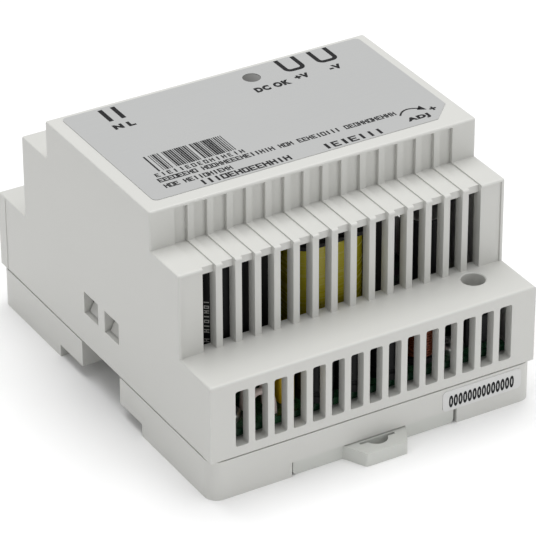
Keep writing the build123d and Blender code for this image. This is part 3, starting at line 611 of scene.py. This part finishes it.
# === Output trimmer ==============================================================================
# A small black potentiometer with a slotted rotor of white acetal, reached down the guide tube.
trimmer_black = grained("trimmer_black", (0.022, 0.022, 0.024), (0.03, 0.03, 0.032), (0.34, 0.45))
dress(trimmer_black, "trimmer_body")
rotor_white = grained("rotor_white", (0.74, 0.73, 0.70), (0.68, 0.67, 0.64), (0.32, 0.42), depth=0.2)
dress(rotor_white, "trimmer_rotor")

# === Capacitors ==================================================================================
# Aluminium cans in shrunk black sleeves. The sleeve curls over the rim and leaves the scored end
# bare, and it is printed up one side with a row of pale marks.
def sleeved(name, node):
    """Black shrink sleeve, with bare metal on the end face of the can."""
    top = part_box(node)[1][2]
    finish = grained(name, (0.008, 0.008, 0.009), (0.014, 0.014, 0.015), (0.38, 0.5), depth=0.1)
    tree, shader, join = shader_links(finish)
    shader.inputs["Specular IOR Level"].default_value = 0.15
    place = tree.nodes.new("ShaderNodeTexCoord")
    facing = tree.nodes.new("ShaderNodeNewGeometry")
    height = tree.nodes.new("ShaderNodeSeparateXYZ")
    slope = tree.nodes.new("ShaderNodeSeparateXYZ")
    join(place.outputs["Object"], height.inputs[0])
    join(facing.outputs["Normal"], slope.inputs[0])
    masks = []
    for source, limit in ((height, top - 0.5 * MM), (slope, 0.85)):
        above = tree.nodes.new("ShaderNodeMath")
        above.operation = "GREATER_THAN"
        above.inputs[1].default_value = limit
        join(source.outputs["Z"], above.inputs[0])
        masks.append(above)
    bare = tree.nodes.new("ShaderNodeMath")
    bare.operation = "MULTIPLY"
    for slot, mask in enumerate(masks):
        join(mask.outputs[0], bare.inputs[slot])
    skin = tree.nodes.new("ShaderNodeMix")
    skin.data_type = "RGBA"
    skin.inputs["B"].default_value = (0.62, 0.62, 0.63, 1)
    join(bare.outputs[0], skin.inputs["Factor"])
    join(tree.nodes["grain"].outputs["Color"], skin.inputs["A"])
    join(skin.outputs["Result"], shader.inputs["Base Color"])
    join(bare.outputs[0], shader.inputs["Metallic"])
    dress(finish, node)


sleeved("sleeve_bulk_capacitor", "bulk_capacitor")
for number in range(1, 4):
    for row in ("output", "supply"):
        sleeved(f"sleeve_{row}_capacitor_{number}", f"{row}_capacitor_{number}")

sleeve_print = grained(
    "sleeve_print", (0.62, 0.62, 0.60), (0.52, 0.52, 0.50), (0.4, 0.5), scale=2500.0, mix=0.5,
)
can_low, can_high = (Vector(corner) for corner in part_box("bulk_capacitor"))
can_middle = (can_low + can_high) / 2
can_radius = (can_high.x - can_low.x) / 2 + 2 * film_rise
print_span = (18.0, 36.0)
print_side = radians(-134)
flat, faces = joined(
    [printed_row(print_span, -0.9, 16, 1.1, 4), printed_row(print_span, 0.9, 16, 1.1, 6)],
)
wrapped = []
for along, out in flat:
    angle = print_side - out * MM / can_radius
    wrapped.append((
        can_middle.x + can_radius * cos(angle),
        can_middle.y + can_radius * sin(angle),
        along * MM,
    ))
can_print = new_piece("can_print", wrapped, faces, sleeve_print)
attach(can_print, "housing")

# === Film, disc and fuse parts ===================================================================
# Box capacitors potted in yellow cases, dipped blue and green discs with a glossy,
# slightly lumpy coat, and a brown moulded fuse.
case_yellow = grained("case_yellow", (0.74, 0.50, 0.015), (0.66, 0.43, 0.012), (0.3, 0.42), depth=0.2)
dress(case_yellow, "x_capacitor", "film_capacitor")
dipped_blue = grained(
    "dipped_blue", (0.02, 0.07, 0.34), (0.016, 0.055, 0.28), (0.12, 0.24), scale=700.0, depth=0.6,
    coat=0.4,
)
dress(dipped_blue, "surge_varistor", "y_capacitor")
dipped_green = grained(
    "dipped_green", (0.03, 0.10, 0.04), (0.024, 0.08, 0.032), (0.3, 0.45), scale=700.0, depth=0.6,
)
dress(dipped_green, "inrush_thermistor")
fuse_brown = grained("fuse_brown", (0.045, 0.022, 0.014), (0.038, 0.018, 0.012), (0.38, 0.5))
dress(fuse_brown, "fuse")

# === Packages, heat sinks and pads ===============================================================
# Epoxy packages with a dull moulded face stand on black anodised aluminium, which was sawn from an
# extrusion, with grey silicone pads between.
epoxy_black = grained(
    "epoxy_black", (0.018, 0.018, 0.019), (0.026, 0.026, 0.027), (0.5, 0.62), depth=0.5,
)
dress(
    epoxy_black, "bridge_rectifier", "switching_transistor", "output_diode", "optocoupler",
    "controller_chip",
)
anodised_black = grained(
    "anodised_black", (0.012, 0.012, 0.013), (0.02, 0.02, 0.021), (0.45, 0.6),
    scale=500.0, depth=0.3, stretch=(1, 1, 9), mix=0.7,
)
dress(anodised_black, "primary_heatsink", "secondary_heatsink")
pad_grey = grained("pad_grey", (0.32, 0.33, 0.34), (0.28, 0.29, 0.30), (0.6, 0.72))
dress(pad_grey, "insulating_pads")

# === Transformer =================================================================================
# Ground ferrite halves round a phenolic bobbin. The coil is lapped in yellow polyester tape, whose
# edges show as fine lines round it. The tape's yellow is set darker than its own, as painted
# shade for the dim inside of the housing.
ferrite_black = grained(
    "ferrite_black", (0.012, 0.011, 0.011), (0.02, 0.019, 0.019), (0.42, 0.6), scale=1800.0,
    depth=0.5,
)
dress(ferrite_black, "transformer_core", "line_choke_core", "output_inductor_core", "filter_choke_core")
bobbin_black = grained("bobbin_black", (0.02, 0.019, 0.018), (0.026, 0.025, 0.023), (0.45, 0.58))
dress(bobbin_black, "transformer_bobbin", "line_choke_base")
# Painted shade: the tape's yellow is darkened to stand for the little light inside the housing.
tape_yellow_with_painted_shade = grained(
    "tape_yellow_with_painted_shade", (0.55, 0.48, 0.03), (0.46, 0.40, 0.025), (0.2, 0.34),
    scale=250.0, depth=0.5, stretch=(0.2, 0.2, 6), mix=0.8, coat=0.3,
)
dress(tape_yellow_with_painted_shade, "transformer_winding")

# === Wound chokes ================================================================================
# Enamelled copper wire, wound by hand on the line choke's two sides and round the output toroid,
# and in close turns on the drum. Each turn is a loop of its own wire.
enamel_red = grained(
    "enamel_red", (0.17, 0.04, 0.014), (0.12, 0.028, 0.010), (0.2, 0.32), scale=900.0, mix=0.5,
    metallic=0.5,
)


def toroid_tree():
    """Loops of wire that stand round an arc about Z."""
    tree = bpy.data.node_groups.new("toroid_turns", "GeometryNodeTree")
    start, end = tree_sockets(tree, [
        ("Middle", FLOAT, 5.0), ("Loop Width", FLOAT, 4.0), ("Loop Height", FLOAT, 6.0),
        ("Wire", FLOAT, 0.5), ("Turns", INTEGER, 8), ("First", FLOAT, 0.0), ("Step", FLOAT, 0.3),
        ("Enamel", MATERIAL, None),
    ])
    add, join = tree.nodes.new, tree.links.new
    loop = add("GeometryNodeCurvePrimitiveQuadrilateral")
    join(start.outputs["Loop Width"], loop.inputs["Width"])
    join(start.outputs["Loop Height"], loop.inputs["Height"])
    soft = add("GeometryNodeFilletCurve")
    soft.mode = "POLY"
    soft.inputs["Count"].default_value = 4
    join(start.outputs["Wire"], soft.inputs["Radius"])
    join(loop.outputs[0], soft.inputs["Curve"])
    ring = add("GeometryNodeCurvePrimitiveCircle")
    ring.inputs["Resolution"].default_value = 10
    join(start.outputs["Wire"], ring.inputs["Radius"])
    wire = add("GeometryNodeCurveToMesh")
    join(soft.outputs[0], wire.inputs["Curve"])
    join(ring.outputs[0], wire.inputs["Profile Curve"])
    out = add("ShaderNodeCombineXYZ")
    join(start.outputs["Middle"], out.inputs["X"])
    stand = add("GeometryNodeTransform")
    stand.inputs["Rotation"].default_value = (pi / 2, 0, 0)
    join(wire.outputs[0], stand.inputs["Geometry"])
    join(out.outputs[0], stand.inputs["Translation"])
    line = add("GeometryNodeMeshLine")
    line.inputs["Offset"].default_value = (0, 0, 0)
    join(start.outputs["Turns"], line.inputs["Count"])
    index = add("GeometryNodeInputIndex")
    angle = add("ShaderNodeMath")
    angle.operation = "MULTIPLY_ADD"
    join(index.outputs[0], angle.inputs[0])
    join(start.outputs["Step"], angle.inputs[1])
    join(start.outputs["First"], angle.inputs[2])
    turn = add("ShaderNodeCombineXYZ")
    join(angle.outputs[0], turn.inputs["Z"])
    spread = add("GeometryNodeInstanceOnPoints")
    join(line.outputs["Mesh"], spread.inputs["Points"])
    join(stand.outputs[0], spread.inputs["Instance"])
    join(turn.outputs[0], spread.inputs["Rotation"])
    real = add("GeometryNodeRealizeInstances")
    join(spread.outputs[0], real.inputs[0])
    smooth = add("GeometryNodeSetShadeSmooth")
    join(real.outputs[0], smooth.inputs[0])
    coated = add("GeometryNodeSetMaterial")
    join(smooth.outputs[0], coated.inputs["Geometry"])
    join(start.outputs["Enamel"], coated.inputs["Material"])
    join(coated.outputs[0], end.inputs[0])
    return tree


toroid_turns = toroid_tree()


def wound(name, node, sizes, arcs, on_edge):
    """Wire round a toroid in place of its CAD sleeve. Sizes are bore, radius, thickness and wire."""
    low, high = (Vector(corner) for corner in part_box(node))
    middle = (low + high) / 2
    bore, radius, thick, wire = (value * MM for value in sizes)
    parts = []
    for first, step, turns in arcs:
        values = {
            "Middle": (bore + radius) / 2,
            "Loop Width": radius - bore + wire,
            "Loop Height": thick + wire,
            "Wire": wire / 2, "Turns": turns, "First": radians(first), "Step": radians(step),
            "Enamel": enamel_red,
        }
        parts.append(mesh_parts(grown(name, toroid_turns, values)))
    points, faces = joined(parts)
    if on_edge:
        points = [(x, -z, y) for x, y, z in points]
    piece = new_piece(name, [tuple(Vector(p) + middle) for p in points], faces, enamel_red)
    for polygon in piece.data.polygons:
        polygon.use_smooth = True
    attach(piece, "housing")
    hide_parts(node)


wound(
    "line_choke_turns", "line_choke_windings", (4.0, 8.0, 7.0, 0.8),
    ((-35, 14, 6), (145, 14, 6)), True,
)
wound(
    "output_inductor_turns", "output_inductor_winding", (3.2, 6.5, 6.0, 1.15), ((0, 27.5, 13),),
    False,
)


def drum_tree():
    """A close spiral of wire about Z."""
    tree = bpy.data.node_groups.new("drum_turns", "GeometryNodeTree")
    start, end = tree_sockets(tree, [
        ("Radius", FLOAT, 3.0), ("Height", FLOAT, 7.0), ("Wire", FLOAT, 0.3), ("Turns", FLOAT, 12.0),
        ("Enamel", MATERIAL, None),
    ])
    add, join = tree.nodes.new, tree.links.new
    spiral = add("GeometryNodeCurveSpiral")
    spiral.inputs["Resolution"].default_value = 32
    join(start.outputs["Turns"], spiral.inputs["Rotations"])
    join(start.outputs["Radius"], spiral.inputs["Start Radius"])
    join(start.outputs["Radius"], spiral.inputs["End Radius"])
    join(start.outputs["Height"], spiral.inputs["Height"])
    ring = add("GeometryNodeCurvePrimitiveCircle")
    ring.inputs["Resolution"].default_value = 8
    join(start.outputs["Wire"], ring.inputs["Radius"])
    wire = add("GeometryNodeCurveToMesh")
    wire.inputs["Fill Caps"].default_value = True
    join(spiral.outputs[0], wire.inputs["Curve"])
    join(ring.outputs[0], wire.inputs["Profile Curve"])
    real = add("GeometryNodeRealizeInstances")
    join(wire.outputs[0], real.inputs[0])
    smooth = add("GeometryNodeSetShadeSmooth")
    join(real.outputs[0], smooth.inputs[0])
    coated = add("GeometryNodeSetMaterial")
    join(smooth.outputs[0], coated.inputs["Geometry"])
    join(start.outputs["Enamel"], coated.inputs["Material"])
    join(coated.outputs[0], end.inputs[0])
    return tree


drum_low, drum_high = (Vector(corner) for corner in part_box("filter_choke_winding"))
drum_wire = 0.3 * MM
drum_height = drum_high.z - drum_low.z - 2 * drum_wire
drum_values = {
    "Radius": (drum_high.x - drum_low.x) / 2 - drum_wire, "Height": drum_height, "Wire": drum_wire,
    "Turns": drum_height / (2.05 * drum_wire), "Enamel": enamel_red,
}
points, faces = mesh_parts(grown("filter_choke_turns", drum_tree(), drum_values))
drum_foot = Vector(
    ((drum_low.x + drum_high.x) / 2, (drum_low.y + drum_high.y) / 2, drum_low.z + drum_wire),
)
drum_turns = new_piece(
    "filter_choke_turns", [tuple(Vector(p) + drum_foot) for p in points], faces, enamel_red,
)
for polygon in drum_turns.data.polygons:
    polygon.use_smooth = True
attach(drum_turns, "housing")
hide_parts("filter_choke_winding")

# The dark pieces deep in the housing have little to mirror there.
for finish in (anodised_black, ferrite_black, epoxy_black, bobbin_black, trimmer_black):
    shader_links(finish)[1].inputs["Specular IOR Level"].default_value = 0.15

# === Jumper wires ================================================================================
# Two links of stranded wire in pale silicone insulation, bent over by hand.
wire_pale = grained(
    "wire_pale", (0.72, 0.62, 0.58), (0.64, 0.54, 0.50), (0.4, 0.52), scale=900.0, depth=0.2,
)
dress(wire_pale, "jumper_wires")
